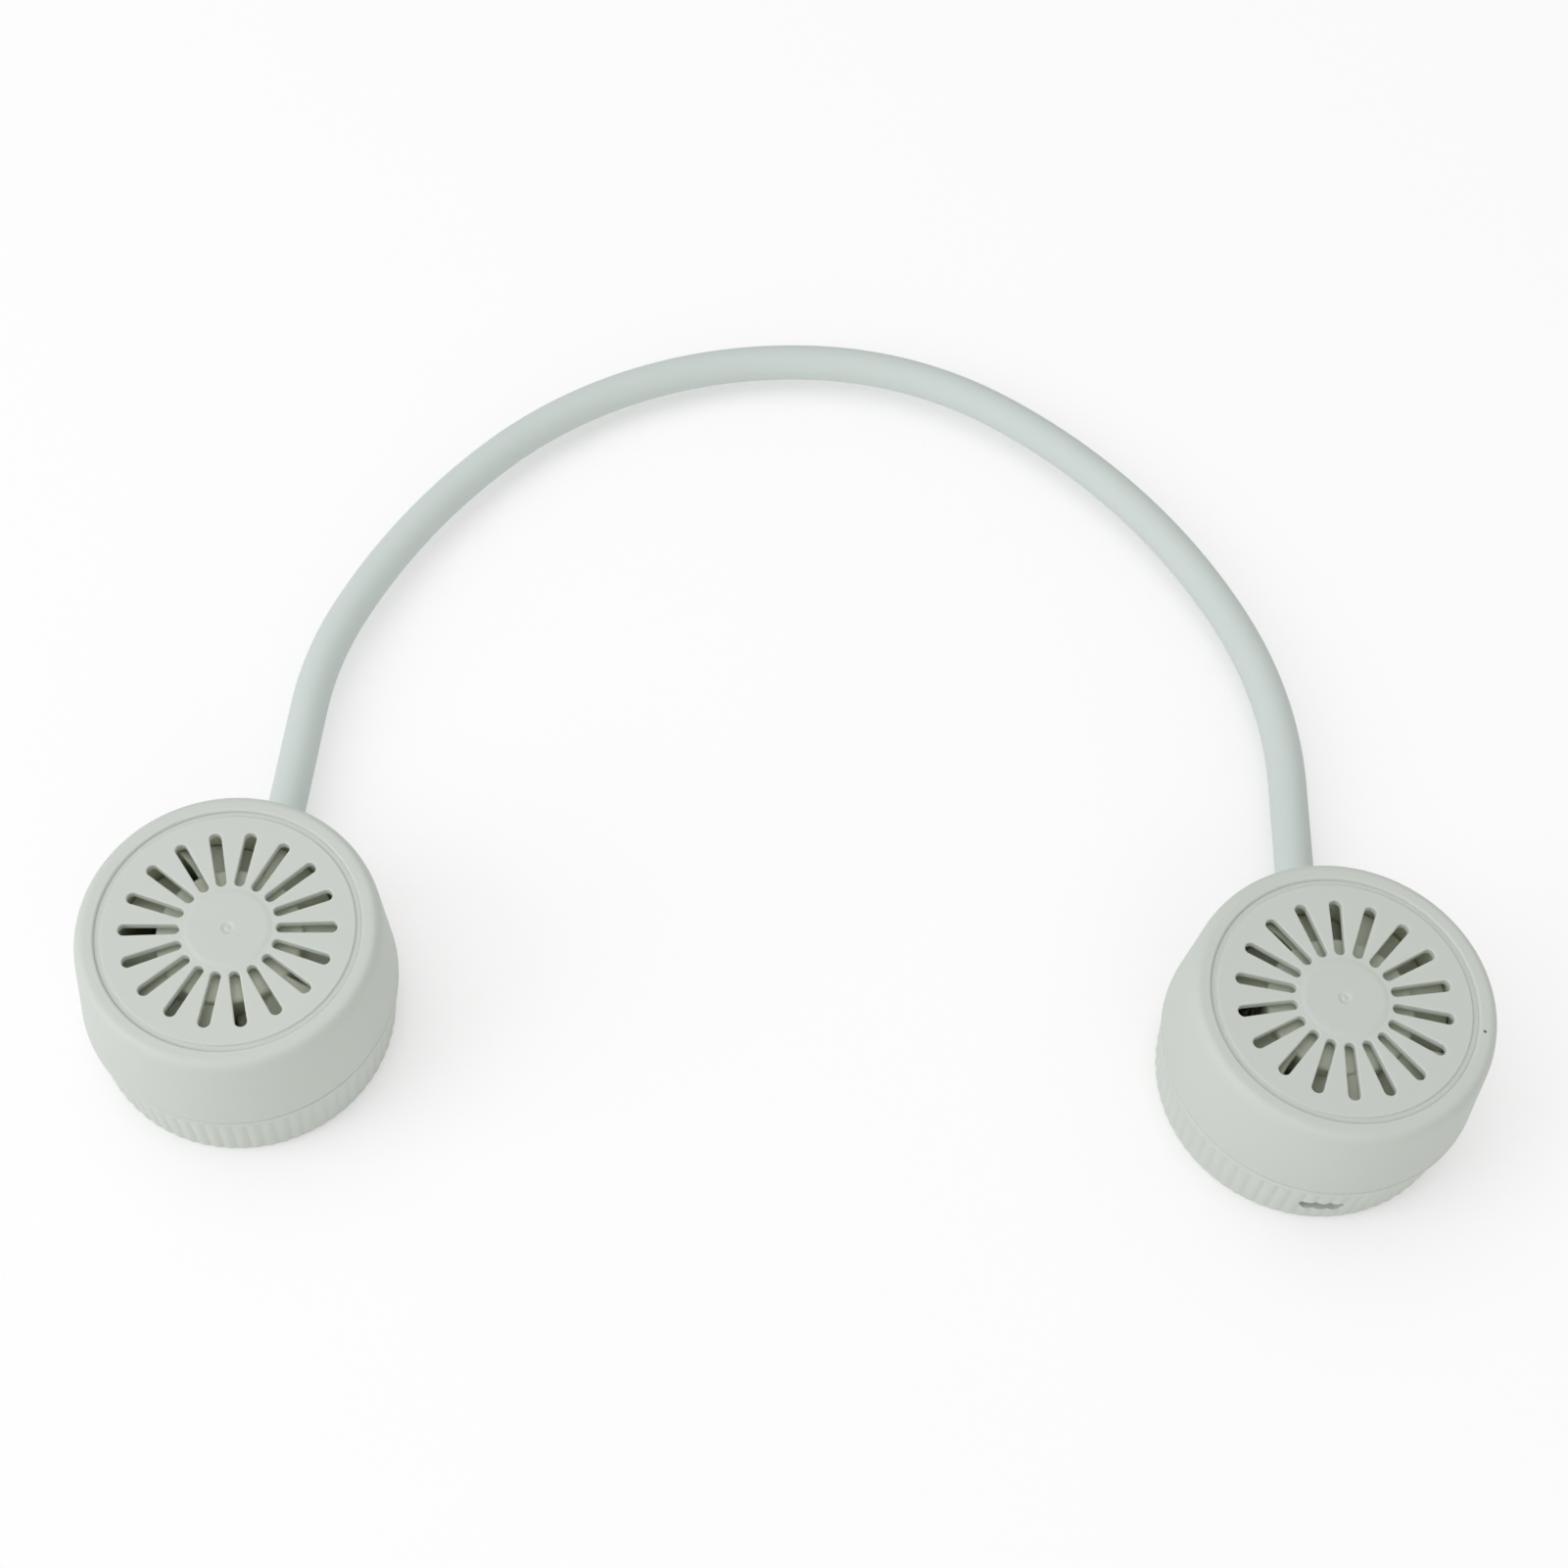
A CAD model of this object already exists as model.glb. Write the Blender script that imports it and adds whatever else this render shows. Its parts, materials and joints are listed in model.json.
"""Neck fan: the visible surfaces of two fan heads on one bendable tube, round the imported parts.

The file is laid out as an add-on and run as a script. Heads are modelled in millimetres round their
own axis, with the tube along +Y, and then put in place in metres.
"""

import json
import math

import bpy
from bpy.props import FloatProperty, FloatVectorProperty, IntProperty, PointerProperty
from mathutils import Matrix, Vector


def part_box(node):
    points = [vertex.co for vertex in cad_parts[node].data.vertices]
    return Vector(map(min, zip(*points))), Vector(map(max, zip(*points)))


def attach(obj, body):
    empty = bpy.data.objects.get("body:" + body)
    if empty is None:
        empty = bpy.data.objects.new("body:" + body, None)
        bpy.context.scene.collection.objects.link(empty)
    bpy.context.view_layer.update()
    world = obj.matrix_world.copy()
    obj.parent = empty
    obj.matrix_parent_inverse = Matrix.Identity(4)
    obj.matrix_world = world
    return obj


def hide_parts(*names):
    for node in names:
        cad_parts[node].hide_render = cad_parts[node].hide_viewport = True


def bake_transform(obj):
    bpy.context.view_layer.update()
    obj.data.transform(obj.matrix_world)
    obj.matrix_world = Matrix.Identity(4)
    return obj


bl_info = {
    "name": "Neck Fan",
    "version": (1, 0, 0),
    "blender": (4, 5, 0),
    "location": "View3D > Sidebar > Neck Fan",
    "description": "Models the shells, grilles and sleeve of a neck fan",
    "category": "Object",
}

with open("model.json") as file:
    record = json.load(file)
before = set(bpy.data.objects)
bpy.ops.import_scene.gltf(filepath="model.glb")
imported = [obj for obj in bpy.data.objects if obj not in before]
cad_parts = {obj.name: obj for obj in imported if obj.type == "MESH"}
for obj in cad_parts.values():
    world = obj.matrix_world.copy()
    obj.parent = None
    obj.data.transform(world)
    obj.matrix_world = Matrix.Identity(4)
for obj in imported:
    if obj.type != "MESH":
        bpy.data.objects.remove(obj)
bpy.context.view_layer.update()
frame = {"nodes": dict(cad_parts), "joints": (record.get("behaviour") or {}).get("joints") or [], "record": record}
JOINTS = {joint["name"]: joint for joint in frame["joints"]}
SLOTS = {row["node"]: row["material_slot"] for row in frame["record"]["subparts"]}
SIDES = ("left", "right")
MM = 0.001
# How far a cutting tool reaches past a face, and how near two places count as one
OVER = 1.0
NEAR = 1e-3
# Faces that meet at less than these degrees are shaded as one: large mouldings, small pieces
SMOOTH_ANGLE = 32
SMALL_ANGLE = 40
# A face counts as level if its normal reaches this far along Z
LEVEL = 0.9999

# Lengths below are in millimetres: radii from a head's axis, heights from the face it rests on

# Rear housing: its shoulder is a cubic curve of (radius, height)
HEAD_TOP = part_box("left_rear_housing")[1].z / MM
PARTING_R = 33.85
PARTING_Z = 18.2
SHOULDER = ((32.3, 36.3), (32.1, 39.7), (31.4, 41.5), (29.7, 41.5))
HOUSING_WALL = 1.8
OPENING_R = 27.6
OPENING_SLOPE = 0.3
LEDGE_Z = (38.25, 39.45)
LEDGE_R = 24.7

# Intake grille, the groove round it and the (radius, depth) of the moulding mark in its boss
INTAKE_Z = 39.5
INTAKE_R = 26.4
INTAKE_SLOPE = 0.2
INTAKE_TOP = 41.3
GROOVE_FLOOR = 40.85
GROOVE_R = 27.58
GROOVE_EDGE = 0.15
BOSS_R = (8.2, 9.2)
BOSS_EDGE = 1.0
MARK_R = 1.5
MARK_DIP = ((1.3, 0.1), (1.0, 0.24), (0.7, 0.3), (0.5, 0.27), (0.3, 0.16), (0.1, 0.1))

# The two round ends of a slot: distance of the middle from the axis, and radius
SLOT_IN = (11.075, 1.075)
SLOT_OUT = (21.4, 1.3)
SLOT_TURN = {"left": 8.7, "right": 10.8}

# Edges that are sharper or softer than the edge setting, as a share of it
PARTING_EDGE = 0.3
RIM_EDGE = 1.4
PLATE_EDGE = 0.8
POD_EDGE = 2

# Front ring: its lip is a cubic curve, and RIB_SHAPE is the rise round one rib
RING_TOP = 17.9
LIP = ((33.55, 15.75), (34.0, 16.2), (34.15, 17.9), (33.6, 17.9))
NECK_IN = 0.8
CREST_R = 33.5
RING_TAPER = 1.2
RING_IN_R = 29.8
RING_FLOOR = 1.6
FOOT_CHAMFER = 0.9
SPIGOT_R = (31.8, 30.4)
SPIGOT_TOP = 20.2
OUTLET_R = 25.4
RIB_TOP = 15.7
RIB_END = 15.5
RIB_RISE = 0.35
RIB_SHAPE = (0.0, 0.19, 0.49, 0.72, 0.87, 0.97, 1.0, 0.97, 0.87, 0.72, 0.49, 0.19)
# Heights of the wall's rows, and the share of the rise from the second row on
RIB_ROWS = (0.6, 0.97, 1.6, RIB_END - 0.3, RIB_END)
RIB_SHARES = (0.75, 1.0, 1.0, 1.0)

# Screw bosses of the ring: the boss and the counterbore are (radius, height of the end)
SCREW_AT = 27.8
SCREW_TURNS = (0, 120, 240)
SCREW_BOSS = (2.4, 13.95)
COUNTERBORE = (1.7, 5.0)
SCREW_HOLE_R = 1.15

# Tube, and the way for it through the ring's wall
TUBE_R = 4.3
TUBE_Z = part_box("neck_sleeve")[1].z / MM - TUBE_R
BORE_R = 3.1
CORE_R = 2.9
TUBE_WAY_R = TUBE_R + 0.05
TUBE_WAY = (29.4, 34.8)

# Charging socket: half of its width and height, and its back, floor and mouth on its own axis
PORT_TURN = -90
PORT_HALF = (4.69, 1.85)
SOCKET_HALF = (4.47, 1.63)
SOCKET_RUN = (24.9, 26.1, 31.4)
SOCKET_WALL = 0.3
TONGUE = (6.7, 0.7, 4.4)
TONGUE_EDGE = 0.2

# Power button: its back, flange and face on its own axis, and the hollow in the face
BUTTON_TURN = -30
BUTTON_Z = 10.32
BUTTON_HOLE_R = 3.1
BUTTON_R = 2.9
BUTTON_FLANGE_R = 3.5
BUTTON_RUN = (28.794, 29.394, 33.289)
BUTTON_EDGE = 0.35
HOLLOW_R = BUTTON_R - 0.6
HOLLOW_DEPTH = 0.2
HOLLOW_STEPS = 8

# Pinhole of the status lamp
LAMP_TURN = -12
PINHOLE_AT = 29.0
PINHOLE_R = 0.35

# Outlet grille: heights of its face, its seat and its back; the bars and the guard ring lie
# within the face and the back by these depths
GRILLE_Z = (0.6, 1.65, 2.85)
GRILLE_R = (25.2, 27.2)
DUCT_R = 23.3
POD_R = 16.4
BAR_W = 1.3
BAR_COUNT = 24
BAR_IN = (0.3, 0.45)
GUARD_IN = (0.15, 0.3)

# Impeller: a blade has rows across the duct and steps along its arc, leans forward by the sweep,
# and climbs at a rate that starts above its mean and falls
HUB_R = (15.5, 14.3)
HUB_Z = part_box("left_impeller")[0].z / MM
IMPELLER_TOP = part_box("left_impeller")[1].z / MM
HUB_TOP_T = 1.4
HUB_EDGE = 0.8
HUB_COLLAR_R = 3.2
HUB_COLLAR_Z = HUB_Z + 3.5
SHAFT_HOLE = (1.05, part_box("left_motor_shaft")[1].z / MM + 0.05)
BLADE_COUNT = 7
BLADE_R = (15.0, 22.8)
BLADE_Z = (30.6, 37.4)
BLADE_ARC = 47
BLADE_T = 0.9
BLADE_EDGE = 0.25
BLADE_EDGE_ANGLE = 50
BLADE_ROWS = 6
BLADE_STEPS = 16
BLADE_SWEEP = 0.5
BLADE_CLIMB = (1.4, 0.8)

# The tube's route from its crown to each head: bends of a radius and a turn in degrees, and then
# straight on
BENDS = {
    "left": ((108.3, 47.9), (161.6, 20.3), (84.9, 18.1)),
    "right": ((86.4, 30.6), (144.3, 32.2), (99.7, 26.5)),
}
BEND_SIGN = {"left": 1, "right": -1}
CROWN_HEADING = {"left": math.pi, "right": 0.0}
LEFT_STRAIGHT = 74.0

# Along the tube: where a shoulder bends, from the crown; where a wrist bends and the sleeve
# stops, from the head's axis
SHOULDER_ZONE = (76.0, 136.0)
WRIST_ZONE = (70.0, 36.5)
SLEEVE_STOP = 26.2

# Layers of the tube: material, name of its pieces, radius, wall (none if solid), steps round
LAYERS = (
    ("sleeve", "tube", TUBE_R, TUBE_R - BORE_R, 48),
    ("core", "stay", CORE_R, 0, 24),
)


def linear(hex_colour):
    """The linear colour of an sRGB hex value."""
    levels = [int(hex_colour[i : i + 2], 16) / 255 for i in (1, 3, 5)]
    return tuple(
        v / 12.92 if v <= 0.04045 else ((v + 0.055) / 1.055) ** 2.4 for v in levels
    )


# ---------------------------------------------------------------- sizes and colours


class NeckFanSizes(bpy.types.PropertyGroup):
    """Sizes of the mouldings"""

    rib_count: IntProperty(
        name="Ribs", description="Ribs round a front ring", default=70, min=20, max=90
    )
    slot_count: IntProperty(
        name="Slots", description="Slots in an intake grille", default=18, min=6, max=24
    )
    edge: FloatProperty(
        name="Edge",
        description="Radius of the eased edges of the mouldings",
        default=0.3 * MM,
        unit="LENGTH",
    )
    slot_edge: FloatProperty(
        name="Slot edge",
        description="Radius of the eased edge round each slot",
        default=0.3 * MM,
        unit="LENGTH",
    )
    grain: FloatProperty(
        name="Grain",
        description="Spacing of the spark-eroded grain on the shells",
        default=0.35 * MM,
        unit="LENGTH",
    )


def colour_prop(name, words, hex_colour):
    """A colour setting with an sRGB default."""
    return FloatVectorProperty(
        name=name, description=words, subtype="COLOR", default=linear(hex_colour)
    )


class NeckFanColours(bpy.types.PropertyGroup):
    """Colours of what shows"""

    shell: colour_prop("Shell", "Moulded shells and grilles", "#CBD1C9")
    sleeve: colour_prop("Sleeve", "Silicone sleeve of the neck tube", "#CDD6D1")
    inner: colour_prop("Inside", "Air duct and pod behind the grilles", "#E2E6CC")
    impeller: colour_prop("Impeller", "Fan blades and hub", "#CFD3C2")
    floor: colour_prop("Floor", "Table and backdrop", "#FCFCFB")


def sizes():
    """The size settings of the scene."""
    return bpy.context.scene.neck_fan_sizes


def colours():
    """The colour settings of the scene."""
    return bpy.context.scene.neck_fan_colours


# ---------------------------------------------------------------- modelling helpers


def ready():
    """Leaves edit mode and selects nothing, as a new primitive needs."""
    if bpy.context.object and bpy.context.object.mode != "OBJECT":
        bpy.ops.object.mode_set(mode="OBJECT")
    bpy.ops.object.select_all(action="DESELECT")


def alone(obj):
    """Leaves only this object selected and active."""
    ready()
    obj.select_set(True)
    bpy.context.view_layer.objects.active = obj


def start(name):
    """Names the primitive that was just added."""
    obj = bpy.context.object
    obj.name = name
    obj.data.name = name
    return obj


def settled(obj):
    """Applies the active object's place, turn and size to its mesh."""
    bpy.ops.object.transform_apply(location=True, rotation=True, scale=True)
    return obj


def edit_all():
    """Opens the active object in edit mode with everything selected."""
    bpy.ops.object.mode_set(mode="EDIT")
    bpy.ops.mesh.select_all(action="SELECT")


def select_verts(obj, test):
    """Selects the vertices whose place passes the test, in edit mode."""
    bpy.ops.object.mode_set(mode="OBJECT")
    mesh = obj.data
    for element in (mesh.polygons, mesh.edges, mesh.vertices):
        element.foreach_set("select", [False] * len(element))
    chosen = [test(v.co) for v in mesh.vertices]
    mesh.vertices.foreach_set("select", chosen)
    for edge in mesh.edges:
        edge.select = chosen[edge.vertices[0]] and chosen[edge.vertices[1]]
    bpy.ops.object.mode_set(mode="EDIT")


def extruded(by):
    """Extrudes what is selected along a vector."""
    bpy.ops.mesh.extrude_region_move(TRANSFORM_OT_translate={"value": by})


def widened(share, centre=(0, 0, 0)):
    """Scales what is selected, across Z and about a centre."""
    bpy.ops.transform.resize(value=(share, share, 1), center_override=centre)


def swung(degrees):
    """Turns what is selected about the head's axis."""
    bpy.ops.transform.rotate(
        value=math.radians(degrees), orient_axis="Z", center_override=(0, 0, 0)
    )


def lathe(name, profile, steps, solid=False):
    """Turns a profile of (radius, height) round Z, ring by ring: a closed section or a solid."""
    ready()
    r, z = profile[0]
    bpy.ops.mesh.primitive_circle_add(vertices=steps, radius=r, location=(0, 0, 0))
    obj = start(name)
    edit_all()
    bpy.ops.transform.translate(value=(0, 0, z))
    for next_r, next_z in profile[1:]:
        bpy.ops.mesh.extrude_region()
        widened(next_r / r)
        bpy.ops.transform.translate(value=(0, 0, next_z - z))
        r, z = next_r, next_z
    bpy.ops.mesh.select_all(action="DESELECT")
    bpy.ops.mesh.select_non_manifold()
    if solid:
        bpy.ops.mesh.fill_holes(sides=0)
    else:
        bpy.ops.mesh.bridge_edge_loops()
    outward(obj)
    return obj


def outward(obj):
    """Turns the faces of a closed shell outwards."""
    if obj.mode != "EDIT":
        alone(obj)
        bpy.ops.object.mode_set(mode="EDIT")
    bpy.ops.mesh.select_all(action="SELECT")
    bpy.ops.mesh.normals_make_consistent(inside=False)
    bpy.ops.object.mode_set(mode="OBJECT")


def eased(profile, segments=3):
    """Rounds a closed profile: a corner's third value, where it has one, is its radius."""
    points = []
    for i, (r, z, *rounding) in enumerate(profile):
        if not rounding:
            points.append((r, z))
            continue
        p = Vector((r, z))
        a = (Vector(profile[i - 1][:2]) - p).normalized()
        b = (Vector(profile[(i + 1) % len(profile)][:2]) - p).normalized()
        half = a.angle(b) / 2
        reach = rounding[0] / math.tan(half)
        centre = p + (a + b).normalized() * (rounding[0] / math.sin(half))
        first = p + a * reach - centre
        last = p + b * reach - centre
        turn = first.angle(last)
        for k in range(segments + 1):
            t = k / segments
            spoke = first * math.sin((1 - t) * turn) + last * math.sin(t * turn)
            points.append(tuple(centre + spoke / math.sin(turn)))
    return points


def curved(a, b, c, d, steps=14):
    """Points on the cubic curve from a to d, which leaves a towards b and reaches d from c."""
    shares = [
        ((1 - t) ** 3, 3 * t * (1 - t) ** 2, 3 * t * t * (1 - t), t**3)
        for t in (i / steps for i in range(steps + 1))
    ]
    return [
        tuple(sum(k * corner[axis] for k, corner in zip(share, (a, b, c, d))) for axis in (0, 1))
        for share in shares
    ]


def rod(name, r, low, high, at=(0, 0), steps=32):
    """A round bar along Z, drawn up from a disc."""
    ready()
    bpy.ops.mesh.primitive_circle_add(
        vertices=steps, radius=r, fill_type="NGON", location=(at[0], at[1], low)
    )
    obj = start(name)
    edit_all()
    extruded((0, 0, high - low))
    outward(obj)
    return settled(obj)


def block(name, middle, size):
    """A box round its middle."""
    ready()
    bpy.ops.mesh.primitive_cube_add(size=1, location=middle, scale=size)
    return settled(start(name))


def moved(obj, by):
    """Moves an object along a vector."""
    alone(obj)
    bpy.ops.transform.translate(value=by)
    return settled(obj)


def turned(obj, degrees, about="Z"):
    """Turns an object about the head's axis, or lays it over."""
    alone(obj)
    obj.matrix_world = Matrix.Rotation(math.radians(degrees), 4, about)
    return settled(obj)


def copied(obj, name):
    """A copy with its own mesh."""
    alone(obj)
    bpy.ops.object.duplicate(linked=False)
    return start(name)


def repeated(obj, turns):
    """One mesh that holds a copy of the object at each turn about Z, in degrees."""
    pieces = [turned(copied(obj, f"{obj.name}_{i}"), t) for i, t in enumerate(turns)]
    bpy.data.objects.remove(obj)
    return joined(pieces)


def joined(pieces):
    """Makes one object of several."""
    alone(pieces[0])
    for piece in pieces:
        piece.select_set(True)
    bpy.ops.object.join()
    return bpy.context.object


def modified(obj, kind, **settings):
    """Adds a modifier to an object, sets it and applies it."""
    alone(obj)
    bpy.ops.object.modifier_add(type=kind)
    modifier = obj.modifiers[-1]
    for key, value in settings.items():
        setattr(modifier, key, value)
    bpy.ops.object.modifier_apply(modifier=modifier.name)
    return obj


def shaped(obj, tool, how="DIFFERENCE"):
    """Cuts an object with a second one, or joins the two; the second one is used up."""
    modified(obj, "BOOLEAN", object=tool, operation=how, solver="MANIFOLD")
    bpy.data.objects.remove(tool)
    return obj


def smooth(obj, degrees=SMOOTH_ANGLE):
    """Shades an object smooth, apart from edges that are sharper than an angle."""
    alone(obj)
    bpy.ops.object.shade_smooth_by_angle(angle=math.radians(degrees))
    return obj


def smooth_moulding(obj, degrees=SMOOTH_ANGLE):
    """Smooths the rounded faces and keeps the level ones flat, so that no rounding bleeds in."""
    smooth(obj, degrees)
    bpy.ops.object.mode_set(mode="EDIT")
    bpy.ops.mesh.select_mode(type="FACE")
    bpy.ops.mesh.select_all(action="DESELECT")
    bpy.ops.object.mode_set(mode="OBJECT")
    for face in obj.data.polygons:
        face.select = abs(face.normal.z) > LEVEL
    bpy.ops.object.mode_set(mode="EDIT")
    bpy.ops.mesh.faces_shade_flat()
    bpy.ops.mesh.select_mode(type="VERT")
    bpy.ops.object.mode_set(mode="OBJECT")
    return obj


def head_place(side):
    """From a head's own millimetres to the fan's metres."""
    x, y, _ = JOINTS[side + "_fan_spin"]["pos_m"]
    across = JOINTS[side + "_tilt"]["axis"]
    turn = Matrix.Rotation(math.atan2(across[1], across[0]), 4, "Z")
    return Matrix.Translation((x, y, 0)) @ turn @ Matrix.Scale(MM, 4)


def put(obj, side):
    """Puts a piece that was modelled round a head's axis in its place."""
    alone(obj)
    obj.matrix_world = head_place(side)
    return settled(obj)


def dress(obj, material, body, node):
    """Gives a finished piece its material, body, slot and the node it stands for."""
    obj.data.materials.clear()
    obj.data.materials.append(material)
    if body:
        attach(obj, body)
    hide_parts(node)
    return obj


# ---------------------------------------------------------------- materials

# The colour of a material drifts slowly, its roughness varies with its grain, and so does a bump
DRIFT_SPACING = 22 * MM
ROUGHNESS_SPREAD = 0.05
BUMP_STRENGTH = 0.35


def add(tree, kind, settings=None, links=None):
    """Adds a node, sets its attributes and sockets, and links its inputs."""
    node = tree.nodes.new(kind)
    for key, value in (settings or {}).items():
        if isinstance(key, str) and hasattr(node, key):
            setattr(node, key, value)
        else:
            node.inputs[key].default_value = value
    for key, source in (links or {}).items():
        tree.links.new(source, node.inputs[key])
    return node


def blank(name):
    """A new material and its empty node tree."""
    material = bpy.data.materials.new(name)
    material.use_nodes = True
    material.node_tree.nodes.clear()
    return material, material.node_tree


def moulded(name, colour, roughness, grain_mm, depth_mm, drift=0.03, **sockets):
    """A moulded surface: slow drift in its colour, grain of a real spacing, and a bump from it."""
    material, tree = blank(name)
    place = add(tree, "ShaderNodeTexCoord")
    slow = add(
        tree,
        "ShaderNodeTexNoise",
        {"Scale": 1 / DRIFT_SPACING, "Detail": 2.0},
        {"Vector": place.outputs["Object"]},
    )
    fine = add(
        tree,
        "ShaderNodeTexNoise",
        {"Scale": 1 / (grain_mm * MM), "Detail": 3.0, "Roughness": 0.6},
        {"Vector": place.outputs["Object"]},
    )
    tint = add(
        tree,
        "ShaderNodeMix",
        {"data_type": "RGBA", 6: (*(c * (1 - drift) for c in colour), 1), 7: (*colour, 1)},
        {0: slow.outputs["Fac"]},
    )
    rough = add(
        tree,
        "ShaderNodeMapRange",
        {"To Min": roughness - ROUGHNESS_SPREAD, "To Max": roughness + ROUGHNESS_SPREAD},
        {"Value": fine.outputs["Fac"]},
    )
    bump = add(
        tree,
        "ShaderNodeBump",
        {"Strength": BUMP_STRENGTH, "Distance": depth_mm * MM},
        {"Height": fine.outputs["Fac"]},
    )
    shader = add(
        tree,
        "ShaderNodeBsdfPrincipled",
        sockets,
        {
            "Base Color": tint.outputs[2],
            "Roughness": rough.outputs[0],
            "Normal": bump.outputs[0],
        },
    )
    add(tree, "ShaderNodeOutputMaterial", None, {"Surface": shader.outputs[0]})
    return material


def glow_through(weight, reach_mm):
    """Sockets of a pale plastic that lets some light through its thin walls, blue the least."""
    return {
        "Subsurface Weight": weight,
        "Subsurface Radius": (1.0, 1.0, 0.8),
        "Subsurface Scale": reach_mm * MM,
    }


def abs_shell():
    # Moulded ABS in a spark-eroded tool: even and matt, with a broad soft highlight
    return moulded(
        "Moulded ABS shell",
        colours().shell,
        roughness=0.55,
        grain_mm=sizes().grain / MM,
        depth_mm=0.03,
        **{"IOR": 1.52, **glow_through(weight=0.15, reach_mm=2.0)},
    )


def silicone_sleeve():
    # Extruded silicone rubber: matter than the shells, with a faint sheen at its edges
    return moulded(
        "Silicone sleeve",
        colours().sleeve,
        roughness=0.68,
        grain_mm=0.6,
        depth_mm=0.02,
        **{"IOR": 1.42, "Sheen Weight": 0.12, "Sheen Roughness": 0.4},
    )


def abs_inside():
    # Moulded ABS behind the grilles, left as it comes from a plain tool
    return moulded(
        "Moulded ABS inside",
        colours().inner,
        roughness=0.6,
        grain_mm=0.8,
        depth_mm=0.03,
        **{"IOR": 1.52, **glow_through(weight=0.4, reach_mm=3.0)},
    )


def pp_impeller():
    # Moulded polypropylene: slightly waxy and satin
    return moulded(
        "Moulded PP impeller",
        colours().impeller,
        roughness=0.42,
        grain_mm=0.8,
        depth_mm=0.015,
        **{"IOR": 1.49, **glow_through(weight=0.4, reach_mm=2.5)},
    )


# Zinc plate on steel: bright and cool, with slightly spread reflections
ZINC = ("Zinc-plated steel", "#C4C6C8", 0.32, 0.4, 0.01, {"Metallic": 1.0})

# Materials that need no more than a row: name, colour, roughness, spacing and depth of the grain
# in millimetres, and other settings
PLAIN = {
    # Soft PVC round the stay cable: dark grey with a dull shine
    "core": ("PVC cable jacket", "#4C4F52", 0.6, 0.5, 0.02, {}),
    # Open-celled foam: nearly black, with no shine and a coarse, uneven surface
    "foam": ("Cell foam pad", "#33363A", 0.9, 0.5, 0.2, {"drift": 0.3}),
    # Laminated foil round the cell: bright, with slack, soft reflections
    "cell_wrap": ("Aluminium pouch foil", "#B8BCC0", 0.35, 1.6, 0.05, {"Metallic": 1.0}),
    "motor_steel": ZINC,
    "screw_steel": ZINC,
    "shaft_steel": ZINC,
    "socket_steel": ZINC,
    # Thin PVC of the leads: black with a soft highlight
    "lead_jacket": ("PVC lead", "#2F3033", 0.5, 0.5, 0.02, {}),
    # Lacquer over the copper: green, smooth and fairly glossy
    "board": ("Green solder mask", "#2F6B46", 0.35, 1.2, 0.01, {}),
    # Moulded epoxy: black and satin
    "chips": ("Chip epoxy", "#2B2D30", 0.55, 0.3, 0.02, {}),
    # Nylon with glass fibres: dark grey and satin, with fibres just under the surface
    "switch_plastic": ("Glass-filled nylon", "#3A3D40", 0.55, 0.4, 0.03, {}),
    # Acetal: ivory, smooth and slightly waxy
    "plunger_plastic": ("Acetal plunger", "#D8D4C8", 0.4, 0.6, 0.01, {}),
    # Cast resin of the lamp: pale yellow with a sharp highlight
    "lamp_resin": ("Clear lamp resin", "#E9E4B8", 0.15, 1.0, 0.01, {}),
    # Polished acrylic: nearly clear, with the sharpest highlight of all
    "guide_acrylic": ("Cast acrylic", "#E4EBEE", 0.08, 2.0, 0.005, {"Transmission Weight": 0.8}),
}

FINISHES = {
    "shell": abs_shell,
    "sleeve": silicone_sleeve,
    "inner_plastic": abs_inside,
    "impeller_plastic": pp_impeller,
}

MATERIALS = {}


def finish_of(slot):
    """The material of a slot, made once."""
    if slot not in MATERIALS:
        if slot in PLAIN:
            name, colour, *surface, others = PLAIN[slot]
            MATERIALS[slot] = moulded(name, linear(colour), *surface, **others)
        else:
            MATERIALS[slot] = FINISHES[slot]()
    return MATERIALS[slot]


# ---------------------------------------------------------------- the neck tube


def along(side, distance):
    """[x, y, heading] in millimetres, at a distance from the crown."""
    x, y, heading = 0.0, 0.0, CROWN_HEADING[side]
    sign = BEND_SIGN[side]
    for r, turn in BENDS[side]:
        arc = min(distance, r * math.radians(turn))
        x += sign * r * (math.sin(heading + sign * arc / r) - math.sin(heading))
        y -= sign * r * (math.cos(heading + sign * arc / r) - math.cos(heading))
        heading += sign * arc / r
        distance -= arc
        if distance <= 0:
            return x, y, heading
    return x + distance * math.cos(heading), y + distance * math.sin(heading), heading


def tube_length(side):
    """From the crown to a head's axis; the two heads stand level with each other."""
    bends = sum(r * math.radians(turn) for r, turn in BENDS[side])
    if side == "left":
        return bends + LEFT_STRAIGHT
    _, y, heading = along(side, bends)
    level = along("left", tube_length("left"))[1]
    return bends + (y - level) / -math.sin(heading)


def crown():
    """Place of the crown, from the left head's axis and the left bends."""
    head = JOINTS["left_fan_spin"]["pos_m"]
    x, y, _ = along("left", tube_length("left"))
    return head[0] / MM - x, head[1] / MM - y


def tube_point(side, distance):
    """A point of the tube's centre line, in metres."""
    x, y, _ = along(side, distance)
    cx, cy = crown()
    return tuple(v * MM for v in (cx + x, cy + y, TUBE_Z))


def ring_at(name, side, distance, r, steps):
    """A circle across the tube, with edit mode open and all of it selected."""
    ready()
    x, y, heading = along(side, distance)
    cx, cy = crown()
    bpy.ops.mesh.primitive_circle_add(
        vertices=steps,
        radius=r,
        location=(cx + x, cy + y, TUBE_Z),
        rotation=(math.pi / 2, 0, heading + math.pi / 2),
    )
    obj = settled(start(name))
    edit_all()
    return obj


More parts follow.
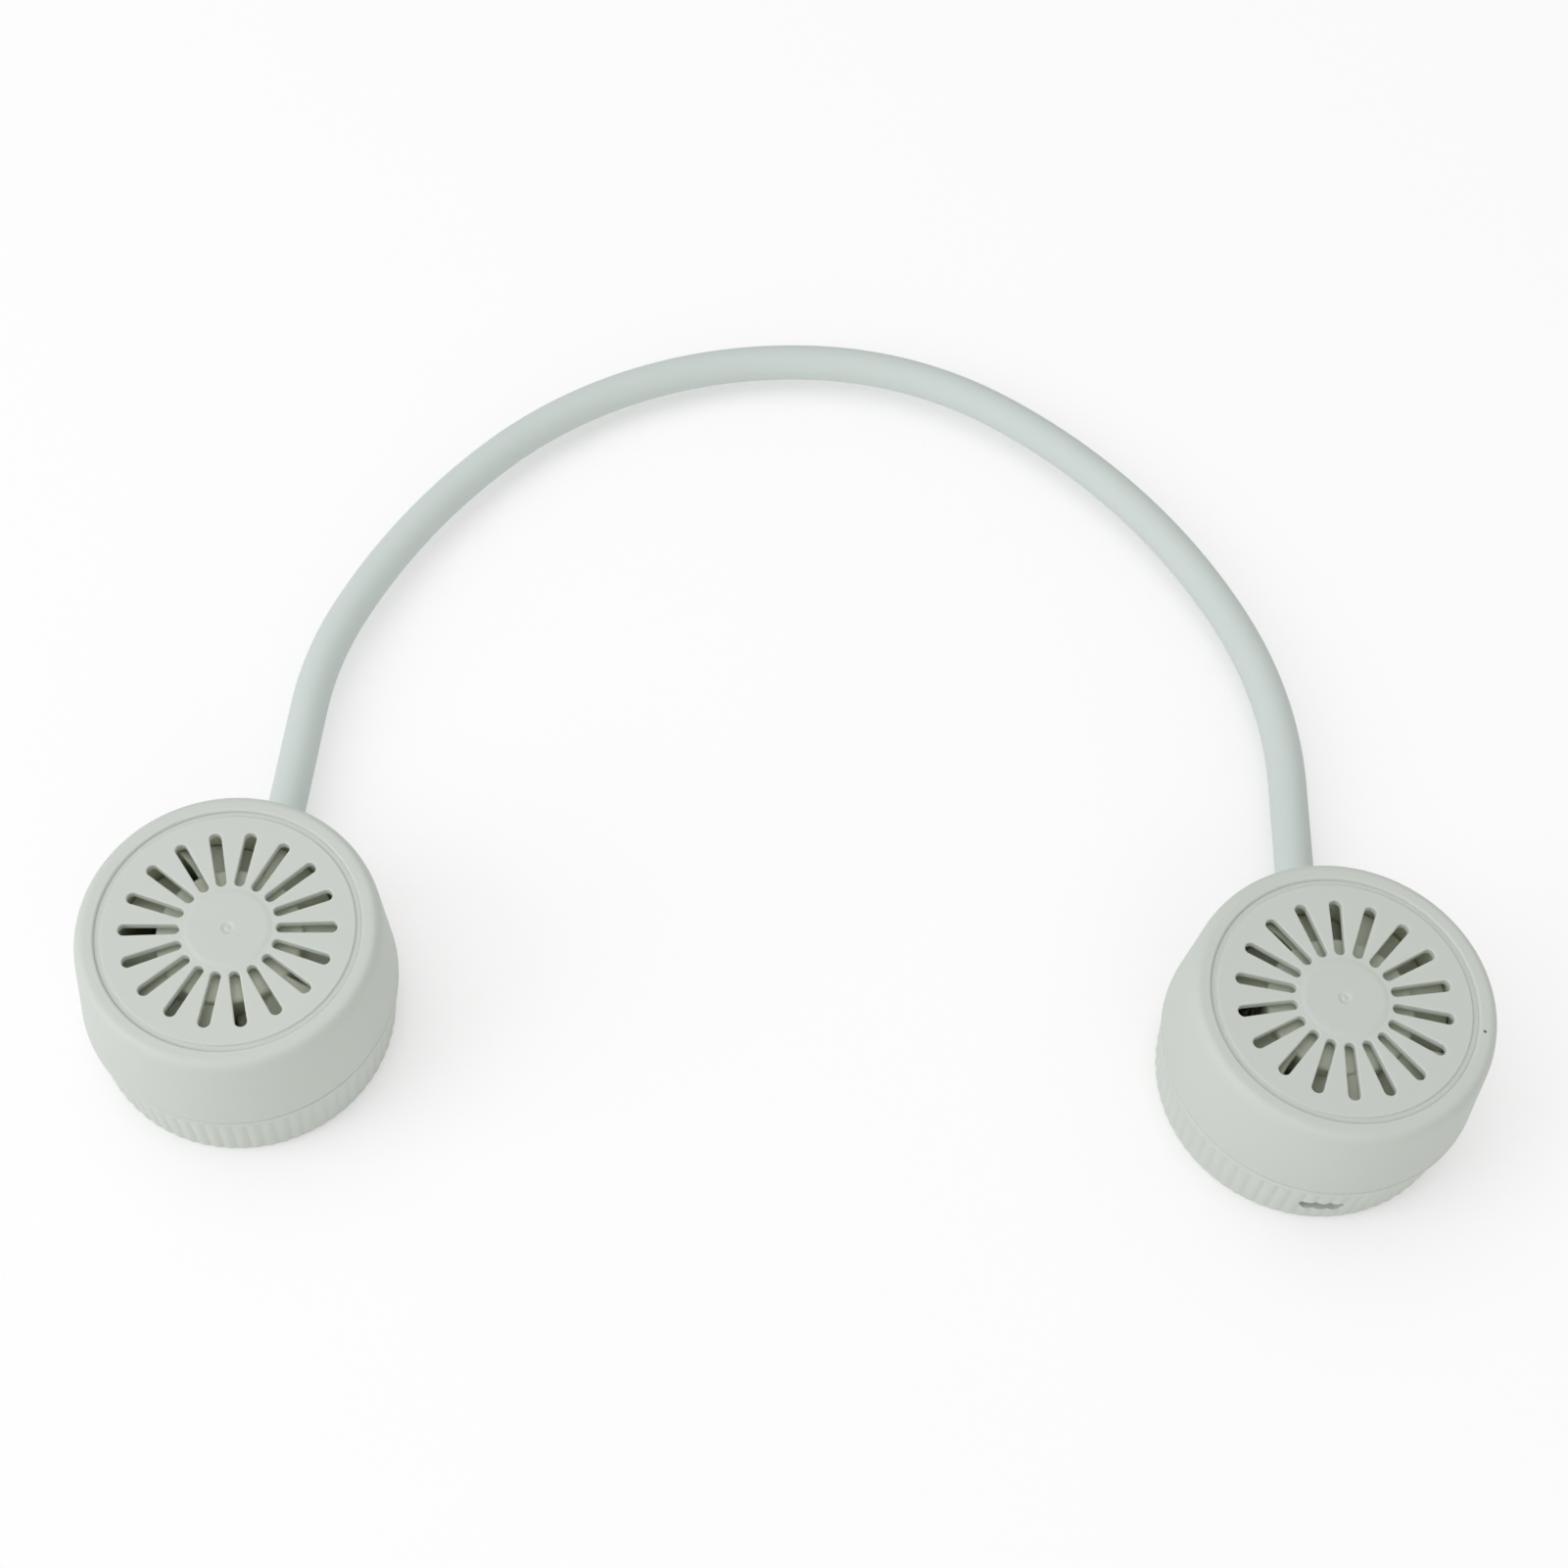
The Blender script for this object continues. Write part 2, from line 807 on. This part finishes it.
def carry(side, begin, end, pitch=2.0):
    """Carries the selected ring along the tube: a spin for each bend, and then straight on."""
    cx, cy = crown()
    sign = BEND_SIGN[side]
    passed = 0.0
    for r, turn in BENDS[side]:
        arc = r * math.radians(turn)
        a, b = max(begin, passed), min(end, passed + arc)
        if b > a:
            x, y, heading = along(side, a)
            centre = (
                cx + x - sign * r * math.sin(heading),
                cy + y + sign * r * math.cos(heading),
                TUBE_Z,
            )
            # The operator spins clockwise for a positive angle
            bpy.ops.mesh.spin(
                steps=max(1, round((b - a) / pitch)),
                angle=-sign * (b - a) / r,
                center=centre,
                axis=(0, 0, 1),
            )
        passed += arc
    a = max(begin, passed)
    if end > a:
        heading = along(side, a)[2]
        count = max(1, round((end - a) / pitch))
        step = (end - a) / count
        for _ in range(count):
            extruded((step * math.cos(heading), step * math.sin(heading), 0))


def finish_tube(obj, wall):
    """Closes a run of tube: a wall inwards, or two end faces where it is solid."""
    bpy.ops.mesh.select_all(action="SELECT")
    bpy.ops.mesh.remove_doubles(threshold=NEAR)
    if not wall:
        bpy.ops.mesh.select_all(action="DESELECT")
        bpy.ops.mesh.select_non_manifold()
        bpy.ops.mesh.fill_holes(sides=0)
    outward(obj)
    if wall:
        modified(obj, "SOLIDIFY", thickness=wall, offset=-1)
    alone(obj)
    obj.matrix_world = Matrix.Scale(MM, 4)
    return smooth(settled(obj))


class NECKFAN_OT_sleeve(bpy.types.Operator):
    """Models the silicone sleeve of the neck tube and the stay cable in it, in lengths that bend"""

    bl_idname = "neckfan.sleeve"
    bl_label = "Sleeve"

    def execute(self, context):
        for stuff, word, r, wall, steps in LAYERS:
            neck = ring_at("neck_" + word, "right", 0, r, steps)
            carry("right", 0, SHOULDER_ZONE[0])
            select_verts(neck, lambda co: abs(co.x - crown()[0]) < NEAR)
            carry("left", 0, SHOULDER_ZONE[0])
            dress(finish_tube(neck, wall), finish_of(stuff), "neck", "neck_" + stuff)
        for side in SIDES:
            head, arm = side + "_head", side + "_arm"
            length = tube_length(side)
            wrist = (length - WRIST_ZONE[0], length - WRIST_ZONE[1])
            runs = (
                ("shoulder", SHOULDER_ZONE, SHOULDER_ZONE, "neck", arm),
                ("arm", (SHOULDER_ZONE[1], wrist[0]), None, arm, arm),
                ("wrist", (wrist[0], length - SLEEVE_STOP), wrist, arm, head),
            )
            for part, (begin, end), zone, first, second in runs:
                for stuff, word, r, wall, steps in LAYERS:
                    obj = ring_at(f"{side}_{part}_{word}", side, begin, r, steps)
                    carry(side, begin, end)
                    finish_tube(obj, wall)
                    body = None if zone else first
                    dress(obj, finish_of(stuff), body, f"{side}_{part}_{stuff}")
                    if zone:
                        tube_point(side, zone[0])
                        tube_point(side, zone[1])
                        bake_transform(obj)
        return {"FINISHED"}


# ---------------------------------------------------------------- the heads


class NECKFAN_OT_housings(bpy.types.Operator):
    """Models the flared rear housings with their rounded shoulders"""

    bl_idname = "neckfan.housings"
    bl_label = "Rear housings"

    def execute(self, context):
        edge = sizes().edge / MM
        profile = [
            (PARTING_R - HOUSING_WALL, PARTING_Z),
            (PARTING_R, PARTING_Z, PARTING_EDGE * edge),
            *curved(*SHOULDER),
            (OPENING_R + OPENING_SLOPE, HEAD_TOP, RIM_EDGE * edge),
            (OPENING_R, GROOVE_FLOOR),
            (OPENING_R, LEDGE_Z[1]),
            (LEDGE_R, LEDGE_Z[1]),
            (LEDGE_R, LEDGE_Z[0]),
            (SHOULDER[3][0] - HOUSING_WALL / 2, LEDGE_Z[0]),
            (SHOULDER[0][0] - HOUSING_WALL, SHOULDER[0][1]),
        ]
        base = lathe("housing", eased(profile), steps=160)
        for side in SIDES:
            obj = copied(base, side + "_housing")
            if side == "right":
                low, high = LEDGE_Z[0] - OVER, HEAD_TOP + OVER
                hole = rod("pinhole", PINHOLE_R, low, high, at=(PINHOLE_AT, 0), steps=24)
                shaped(obj, turned(hole, LAMP_TURN))
            smooth_moulding(obj)
            put(obj, side)
            dress(obj, finish_of("shell"), side + "_head", side + "_rear_housing")
        bpy.data.objects.remove(base)
        return {"FINISHED"}


class NECKFAN_OT_intakes(bpy.types.Operator):
    """Models the slotted intake grilles"""

    bl_idname = "neckfan.intakes"
    bl_label = "Intake grilles"

    def execute(self, context):
        edge = sizes().edge / MM
        count = sizes().slot_count
        profile = [
            (GROOVE_R, INTAKE_Z),
            (GROOVE_R, GROOVE_FLOOR),
            (INTAKE_R + INTAKE_SLOPE, GROOVE_FLOOR, GROOVE_EDGE),
            (INTAKE_R, INTAKE_TOP, PLATE_EDGE * edge),
            (BOSS_R[1], INTAKE_TOP, BOSS_EDGE),
            (BOSS_R[0], HEAD_TOP, BOSS_EDGE),
            (MARK_R, HEAD_TOP),
            *((r, HEAD_TOP - dip) for r, dip in MARK_DIP),
        ]
        base = lathe("intake", eased(profile), steps=160, solid=True)
        for side in SIDES:
            obj = copied(base, side + "_intake")
            turns = [SLOT_TURN[side] + 360 * i / count for i in range(count)]
            shaped(obj, repeated(slot_cutter(), turns))
            smooth_moulding(obj)
            put(obj, side)
            dress(obj, finish_of("shell"), side + "_head", side + "_intake_grille")
        bpy.data.objects.remove(base)
        return {"FINISHED"}


def slot_cutter():
    """A tapering bar with round ends that flares at the outer face, so a slot's edge is eased."""
    ready()
    bpy.ops.mesh.primitive_circle_add(
        vertices=32, radius=SLOT_IN[1], fill_type="NGON", location=(0, 0, 0)
    )
    obj = start("slot_cutter")
    select_verts(obj, lambda co: co.x > NEAR)
    widened(SLOT_OUT[1] / SLOT_IN[1])
    bpy.ops.transform.translate(value=(SLOT_OUT[0] - SLOT_IN[0], 0, 0))
    height = INTAKE_Z - OVER
    bpy.ops.mesh.select_all(action="SELECT")
    bpy.ops.transform.translate(value=(SLOT_IN[0], 0, height))
    edge = sizes().slot_edge / MM
    rows = [
        (edge * (1 - math.cos(a)), INTAKE_TOP - edge * (1 - math.sin(a)))
        for a in (0, math.pi / 8, math.pi / 4, 3 * math.pi / 8)
    ]
    rows.append((2 * edge - rows[-1][0], 2 * INTAKE_TOP - rows[-1][1]))
    rows.append((rows[-1][0], HEAD_TOP + OVER))
    for _, next_height in rows:
        extruded((0, 0, next_height - height))
        height = next_height
    middle = (SLOT_IN[0] + SLOT_OUT[0]) / 2
    for spread, height in rows[1:]:
        for (x, r), far in ((SLOT_IN, False), (SLOT_OUT, True)):
            select_verts(obj, lambda co: abs(co.z - height) < NEAR and (co.x > middle) == far)
            widened(1 + spread / r, (x, 0, height))
    outward(obj)
    return obj


class NECKFAN_OT_rings(bpy.types.Operator):
    """Models the ribbed front rings that the heads rest on"""

    bl_idname = "neckfan.rings"
    bl_label = "Front rings"

    def execute(self, context):
        edge = sizes().edge / MM
        count = sizes().rib_count
        profile = [
            (crest_at(0) - FOOT_CHAMFER, 0, edge),
            *((crest_at(z) - RIB_RISE, z) for z in RIB_ROWS),
            *((crest_at(z) - NECK_IN, z) for z in (RIB_END, LIP[0][1])),
            *curved(*LIP, steps=8),
            (SPIGOT_R[0], RING_TOP),
            (SPIGOT_R[0], SPIGOT_TOP),
            (SPIGOT_R[1], SPIGOT_TOP),
            (SPIGOT_R[1], RIB_TOP),
            (RING_IN_R, RIB_TOP),
            (RING_IN_R, RING_FLOOR),
            (OUTLET_R, RING_FLOOR),
            (OUTLET_R, 0, edge),
        ]
        base = lathe("ring", eased(profile), steps=count * len(RIB_SHAPE))
        self.raise_ribs(base, count)
        at = (SCREW_AT, 0)
        boss = rod("boss", SCREW_BOSS[0], RING_FLOOR / 2, SCREW_BOSS[1], at)
        shaped(base, repeated(boss, SCREW_TURNS), "UNION")
        bore = rod("bore", COUNTERBORE[0], -OVER, COUNTERBORE[1], at)
        shaped(base, repeated(bore, SCREW_TURNS))
        hole = rod("hole", SCREW_HOLE_R, -OVER, SCREW_BOSS[1] + OVER, at, steps=24)
        shaped(base, repeated(hole, SCREW_TURNS))
        way = rod("way", TUBE_WAY_R, -TUBE_WAY[1], -TUBE_WAY[0], steps=48)
        shaped(base, moved(turned(way, 90, "X"), (0, 0, TUBE_Z)))
        for side in SIDES:
            obj = copied(base, side + "_ring")
            if side == "right":
                low, high = RING_IN_R - OVER, CREST_R + OVER
                shaped(obj, oval("port_way", PORT_HALF, low, high))
                way = rod("button_way", BUTTON_HOLE_R, low, high, steps=40)
                shaped(obj, on_button_axis(way))
            smooth_moulding(obj, SMALL_ANGLE)
            put(obj, side)
            dress(obj, finish_of("shell"), side + "_head", side + "_front_ring")
        bpy.data.objects.remove(base)
        return {"FINISHED"}

    def raise_ribs(self, obj, count):
        """Draws the ribs out of the plain wall, one level of their shape at a time."""
        columns = count * len(RIB_SHAPE)

        def column(co):
            turn = math.atan2(co.y, co.x) % math.tau
            return round(turn / math.tau * columns) % len(RIB_SHAPE)

        for height, share in zip(RIB_ROWS[1:], RIB_SHARES):
            r = crest_at(height) - RIB_RISE
            for level in sorted(set(RIB_SHAPE) - {0.0}):
                select_verts(
                    obj,
                    lambda co: abs(co.z - height) < NEAR
                    and abs(co.to_2d().length - r) < NEAR
                    and RIB_SHAPE[column(co)] == level,
                )
                widened(1 + level * share * RIB_RISE / r)
        bpy.ops.object.mode_set(mode="OBJECT")


def crest_at(height):
    """How far out the ribs reach at a height: they lean in towards the foot."""
    return CREST_R - RING_TAPER * (1 - height / RIB_TOP)


def on_button_axis(obj):
    """Lays a piece that was modelled along Z on the power button's axis."""
    return turned(moved(turned(obj, 90, "Y"), (0, 0, BUTTON_Z)), BUTTON_TURN)


def oval(name, half, begin, end):
    """A bar with an oval section on the charging port's axis."""
    ready()
    half_w, half_h = half
    bpy.ops.mesh.primitive_circle_add(
        vertices=48, radius=half_h, fill_type="NGON", location=(0, 0, 0)
    )
    obj = start(name)
    for sign in (-1, 1):
        select_verts(obj, lambda co: co.x * sign > NEAR)
        bpy.ops.transform.translate(value=(sign * (half_w - half_h), 0, 0))
    bpy.ops.mesh.select_all(action="SELECT")
    extruded((0, 0, end - begin))
    outward(obj)
    moved(turned(obj, 90, "X"), (0, -begin, TUBE_Z))
    return turned(obj, PORT_TURN + 90)


class NECKFAN_OT_fittings(bpy.types.Operator):
    """Models the power button and the charging socket of the right head"""

    bl_idname = "neckfan.fittings"
    bl_label = "Button and socket"

    def execute(self, context):
        self.add_button()
        self.add_socket()
        return {"FINISHED"}

    def add_button(self):
        """A flanged button with a shallow hollow in its face."""
        back, flange, front = BUTTON_RUN
        profile = [
            (BUTTON_FLANGE_R, back),
            (BUTTON_FLANGE_R, flange),
            (BUTTON_R, flange),
            (BUTTON_R, front, BUTTON_EDGE),
            (HOLLOW_R, front),
        ]
        for k in range(1, HOLLOW_STEPS):
            depth = HOLLOW_DEPTH * math.sin(math.pi / 2 * k / HOLLOW_STEPS)
            profile.append((HOLLOW_R * (1 - k / HOLLOW_STEPS), front - depth))
        button = lathe("power_key", eased(profile), steps=64, solid=True)
        put(smooth(on_button_axis(button), SMALL_ANGLE), "right")
        dress(button, finish_of("shell"), "right_button", "power_button")

    def add_socket(self):
        """A drawn steel shell with a plastic tongue in it."""
        back, floor, front = SOCKET_RUN
        shell = oval("socket_shell", SOCKET_HALF, back, front)
        inside = tuple(v - SOCKET_WALL for v in SOCKET_HALF)
        shaped(shell, oval("socket_inside", inside, floor, front + OVER))
        put(smooth(shell, SMALL_ANGLE), "right")
        dress(shell, finish_of("socket_steel"), "right_head", "charging_socket")
        wide, thick, long = TONGUE
        tongue = block("socket_tongue", (0, -floor - long / 2, TUBE_Z), (wide, long, thick))
        select_verts(tongue, lambda co: co.y < -floor - long / 2)
        bpy.ops.mesh.bevel(offset=TONGUE_EDGE, segments=3, affect="EDGES")
        outward(tongue)
        put(turned(smooth(tongue), PORT_TURN + 90), "right")
        dress(tongue, finish_of("switch_plastic"), "right_head", "charging_socket")


class NECKFAN_OT_impellers(bpy.types.Operator):
    """Models the impellers: a cup-shaped hub and broad curved blades"""

    bl_idname = "neckfan.impellers"
    bl_label = "Impellers"

    def execute(self, context):
        outer, inner = HUB_R
        under = IMPELLER_TOP - HUB_TOP_T
        bore, bore_top = SHAFT_HOLE
        profile = [
            (bore / 2, bore_top),
            (bore, bore_top),
            (bore, HUB_COLLAR_Z),
            (HUB_COLLAR_R, HUB_COLLAR_Z),
            (HUB_COLLAR_R, under),
            (inner, under),
            (inner, HUB_Z),
            (outer, HUB_Z),
            (outer, IMPELLER_TOP, HUB_EDGE),
            (bore / 2, IMPELLER_TOP),
        ]
        base = lathe("hub", eased(profile), steps=96, solid=True)
        turns = [360 * i / BLADE_COUNT for i in range(BLADE_COUNT)]
        shaped(base, repeated(fan_blade(), turns), "UNION")
        for side in SIDES:
            obj = smooth_moulding(copied(base, side + "_fan_wheel"))
            put(obj, side)
            dress(obj, finish_of("impeller_plastic"), side + "_fan", side + "_impeller")
        bpy.data.objects.remove(base)
        return {"FINISHED"}


def fan_blade():
    """A blade: its edge is drawn out across the duct, carried round and up, and then thickened."""
    ready()
    bpy.ops.mesh.primitive_plane_add(size=1, location=(0, 0, 0))
    obj = start("fan_blade")
    edit_all()
    bpy.ops.mesh.merge(type="CENTER")
    bpy.ops.transform.translate(value=(BLADE_R[0], 0, BLADE_Z[0]))
    for i in range(BLADE_ROWS):
        across = (BLADE_R[1] - BLADE_R[0]) / BLADE_ROWS
        extruded((across, BLADE_SWEEP * i / BLADE_ROWS, 0))
    bpy.ops.mesh.select_all(action="SELECT")
    swung(BLADE_ARC / 2)
    rise = BLADE_Z[1] - BLADE_Z[0]
    first, fall = BLADE_CLIMB
    for i in range(BLADE_STEPS):
        bpy.ops.mesh.extrude_region()
        swung(-BLADE_ARC / BLADE_STEPS)
        climb = rise * (first - fall * (i + 0.5) / BLADE_STEPS) / BLADE_STEPS
        bpy.ops.transform.translate(value=(0, 0, climb))
    modified(obj, "SOLIDIFY", thickness=BLADE_T, offset=0)
    modified(
        obj,
        "BEVEL",
        width=BLADE_EDGE,
        segments=2,
        limit_method="ANGLE",
        angle_limit=math.radians(BLADE_EDGE_ANGLE),
    )
    outward(obj)
    return obj


class NECKFAN_OT_outlets(bpy.types.Operator):
    """Models the outlet grilles in the faces that the heads rest on"""

    bl_idname = "neckfan.outlets"
    bl_label = "Outlet grilles"

    def execute(self, context):
        edge = sizes().edge / MM
        low, seat, high = GRILLE_Z
        rim = [
            (DUCT_R, low, edge),
            (GRILLE_R[0], low, edge),
            (GRILLE_R[0], seat),
            (GRILLE_R[1], seat),
            (GRILLE_R[1], high),
            (DUCT_R, high),
        ]
        middle = (POD_R + DUCT_R) / 2
        guard = [
            (middle - BAR_W / 2, low + GUARD_IN[0], edge),
            (middle + BAR_W / 2, low + GUARD_IN[0], edge),
            (middle + BAR_W / 2, high - GUARD_IN[1]),
            (middle - BAR_W / 2, high - GUARD_IN[1]),
        ]
        pod = [(POD_R / 2, low), (POD_R, low, POD_EDGE * edge), (POD_R, high), (POD_R / 2, high)]
        base = lathe("outlet", eased(rim), steps=128)
        bar = grille_bar(low + BAR_IN[0], high - BAR_IN[1])
        bars = repeated(bar, [360 * i / BAR_COUNT for i in range(BAR_COUNT)])
        shaped(base, bars, "UNION")
        shaped(base, lathe("guard", eased(guard), steps=128), "UNION")
        shaped(base, lathe("pod_end", eased(pod), steps=128, solid=True), "UNION")
        for side in SIDES:
            obj = smooth_moulding(copied(base, side + "_outlet"))
            put(obj, side)
            dress(obj, finish_of("shell"), side + "_head", side + "_outlet_grille")
        bpy.data.objects.remove(base)
        return {"FINISHED"}


def grille_bar(low, high):
    """A bar of the outlet grille with its two outer edges eased."""
    middle = ((POD_R + DUCT_R) / 2, 0, (low + high) / 2)
    obj = block("bar", middle, (DUCT_R - POD_R + 2 * BAR_W, BAR_W, high - low))
    select_verts(obj, lambda co: co.z < (low + high) / 2)
    bpy.ops.mesh.select_mode(type="EDGE")
    bpy.ops.mesh.bevel(offset=sizes().edge / MM, segments=3, affect="EDGES")
    bpy.ops.mesh.select_mode(type="VERT")
    outward(obj)
    return obj


# ---------------------------------------------------------------- what stays as it is packed


class NECKFAN_OT_inside(bpy.types.Operator):
    """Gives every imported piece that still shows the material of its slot"""

    bl_idname = "neckfan.inside"
    bl_label = "Inside"

    def execute(self, context):
        for node, obj in frame["nodes"].items():
            obj.data.materials.clear()
            obj.data.materials.append(finish_of(SLOTS[node]))
        return {"FINISHED"}


# ---------------------------------------------------------------- stage

# The photograph's camera: place in metres, angles in degrees, lens and sensor in millimetres
CAMERA_AT = (-0.02185, -0.33099, 0.55983)
CAMERA_TILT = 58.68
CAMERA_TURN = -0.703
CAMERA_ROLL = 2.953
CAMERA_LENS = 63.69
CAMERA_SHIFT = (0.0673, -0.0524)
CAMERA_SENSOR = 36
CAMERA_CLIP = (0.01, 20)

# Soft lights: name, place in metres, width of the disc, power in watts and colour
LIGHTS = (
    ("key", (-1.15, -0.5, 0.85), 1.0, 7.2, (0.95, 0.96, 1.0)),
    ("fill", (0.3, -1.3, 0.8), 1.2, 2.3, (1, 1, 1)),
    ("top", (-0.3, 0.1, 1.3), 1.2, 4.2, (1, 1, 1)),
)
LIGHT_AIM = (0, 0, 0.02)

# Floor: width in metres, strength of its glow, how near a piece takes the glow away, and the
# darkest tone and the scale of its grain
FLOOR_SIZE = 12
FLOOR_GLOW = 0.75
FLOOR_SHADE_REACH = 0.04
FLOOR_DARKEST = 0.99
FLOOR_GRAIN = 40.0

# Strength of the white surroundings: as light, and as the camera sees them
SURROUNDINGS = (0.55, 1.0)


def photo_camera():
    """The camera where the photographer stood."""
    t, s, roll = (math.radians(v) for v in (CAMERA_TILT, CAMERA_TURN, CAMERA_ROLL))
    ahead = Vector((math.cos(t) * math.sin(s), math.cos(t) * math.cos(s), -math.sin(t)))
    right = Vector((math.cos(s), -math.sin(s), 0))
    up = right.cross(ahead)
    across = math.cos(roll) * right + math.sin(roll) * up
    upright = -math.sin(roll) * right + math.cos(roll) * up
    bpy.ops.object.camera_add(location=CAMERA_AT)
    camera = start("photo_camera")
    turn = Matrix((across, upright, -ahead)).transposed()
    camera.matrix_world = Matrix.Translation(CAMERA_AT) @ turn.to_4x4()
    camera.data.lens = CAMERA_LENS
    camera.data.sensor_width = CAMERA_SENSOR
    camera.data.shift_x, camera.data.shift_y = CAMERA_SHIFT
    camera.data.clip_start, camera.data.clip_end = CAMERA_CLIP
    bpy.context.scene.camera = camera


def soft_light(name, at, size, power, colour):
    """A round soft box that is aimed at the part."""
    bpy.ops.object.light_add(type="AREA", location=at)
    light = start(name)
    light.data.shape = "DISK"
    light.data.size = size
    light.data.energy = power
    light.data.color = colour
    aim = Vector(LIGHT_AIM) - Vector(at)
    light.rotation_euler = aim.to_track_quat("-Z", "Y").to_euler()


def combined(tree, operation, first, second):
    """The result of a math node on two sockets."""
    node = add(tree, "ShaderNodeMath", {"operation": operation}, {0: first, 1: second})
    return node.outputs[0]


def seen_white(name, colour):
    """Pale matt paint that glows for the camera and in reflections where nothing stands near."""
    material, tree = blank(name)
    place = add(tree, "ShaderNodeTexCoord")
    grain = add(
        tree,
        "ShaderNodeTexNoise",
        {"Scale": FLOOR_GRAIN},
        {"Vector": place.outputs["Object"]},
    )
    darkest = [c * FLOOR_DARKEST for c in colour]
    tone = add(
        tree,
        "ShaderNodeMix",
        {"data_type": "RGBA", 6: (*darkest, 1), 7: (*colour, 1)},
        {0: grain.outputs["Fac"]},
    )
    paint = add(tree, "ShaderNodeBsdfDiffuse", None, {"Color": tone.outputs[2]})
    white = add(tree, "ShaderNodeEmission", {"Color": (1, 1, 1, 1), "Strength": 1.0})
    rays = add(tree, "ShaderNodeLightPath").outputs
    seen = combined(tree, "MAXIMUM", rays["Is Camera Ray"], rays["Is Glossy Ray"])
    seen = combined(tree, "MAXIMUM", seen, rays["Is Transmission Ray"])
    free = add(
        tree, "ShaderNodeAmbientOcclusion", {"samples": 6, "Distance": FLOOR_SHADE_REACH}
    )
    share = combined(tree, "MULTIPLY", seen, free.outputs["AO"])
    share = add(tree, "ShaderNodeMath", {"operation": "MULTIPLY", 1: FLOOR_GLOW}, {0: share})
    mix = add(
        tree,
        "ShaderNodeMixShader",
        None,
        {0: share.outputs[0], 1: paint.outputs[0], 2: white.outputs[0]},
    )
    add(tree, "ShaderNodeOutputMaterial", None, {"Surface": mix.outputs[0]})
    return material


class NECKFAN_OT_stage(bpy.types.Operator):
    """Sets up the photograph's camera, soft studio light and a pale floor"""

    bl_idname = "neckfan.stage"
    bl_label = "Stage"

    def execute(self, context):
        ready()
        photo_camera()
        bpy.ops.mesh.primitive_plane_add(size=FLOOR_SIZE, location=(0, 0, 0))
        floor = start("floor")
        floor.data.materials.append(seen_white("Pale table", colours().floor))
        for row in LIGHTS:
            soft_light(*row)
        world = bpy.data.worlds.new("studio")
        context.scene.world = world
        world.use_nodes = True
        tree = world.node_tree
        tree.nodes.clear()
        path = add(tree, "ShaderNodeLightPath")
        strength = add(
            tree,
            "ShaderNodeMapRange",
            {"To Min": SURROUNDINGS[0], "To Max": SURROUNDINGS[1]},
            {"Value": path.outputs["Is Camera Ray"]},
        )
        back = add(
            tree,
            "ShaderNodeBackground",
            {"Color": (1, 1, 1, 1)},
            {"Strength": strength.outputs[0]},
        )
        add(tree, "ShaderNodeOutputWorld", None, {"Surface": back.outputs[0]})
        context.scene.view_settings.view_transform = "Standard"
        return {"FINISHED"}


# ---------------------------------------------------------------- panel and run


STEPS = (
    NECKFAN_OT_stage,
    NECKFAN_OT_sleeve,
    NECKFAN_OT_housings,
    NECKFAN_OT_intakes,
    NECKFAN_OT_rings,
    NECKFAN_OT_fittings,
    NECKFAN_OT_impellers,
    NECKFAN_OT_outlets,
    NECKFAN_OT_inside,
)


class NECKFAN_PT_panel(bpy.types.Panel):
    """Lists the steps and their settings in the sidebar"""

    bl_idname = "NECKFAN_PT_panel"
    bl_label = "Neck Fan"
    bl_space_type = "VIEW_3D"
    bl_region_type = "UI"
    bl_category = "Neck Fan"

    def draw(self, context):
        for group in (sizes(), colours()):
            for name in group.__annotations__:
                self.layout.prop(group, name)
        for step in STEPS:
            self.layout.operator(step.bl_idname)


CLASSES = (NeckFanSizes, NeckFanColours, *STEPS, NECKFAN_PT_panel)


def register():
    for cls in CLASSES:
        bpy.utils.register_class(cls)
    bpy.types.Scene.neck_fan_sizes = PointerProperty(type=NeckFanSizes)
    bpy.types.Scene.neck_fan_colours = PointerProperty(type=NeckFanColours)


def unregister():
    del bpy.types.Scene.neck_fan_sizes
    del bpy.types.Scene.neck_fan_colours
    for cls in reversed(CLASSES):
        bpy.utils.unregister_class(cls)


def main():
    register()
    for step in STEPS:
        family, action = step.bl_idname.split(".")
        getattr(getattr(bpy.ops, family), action)()


if __name__ == "__main__":
    main()
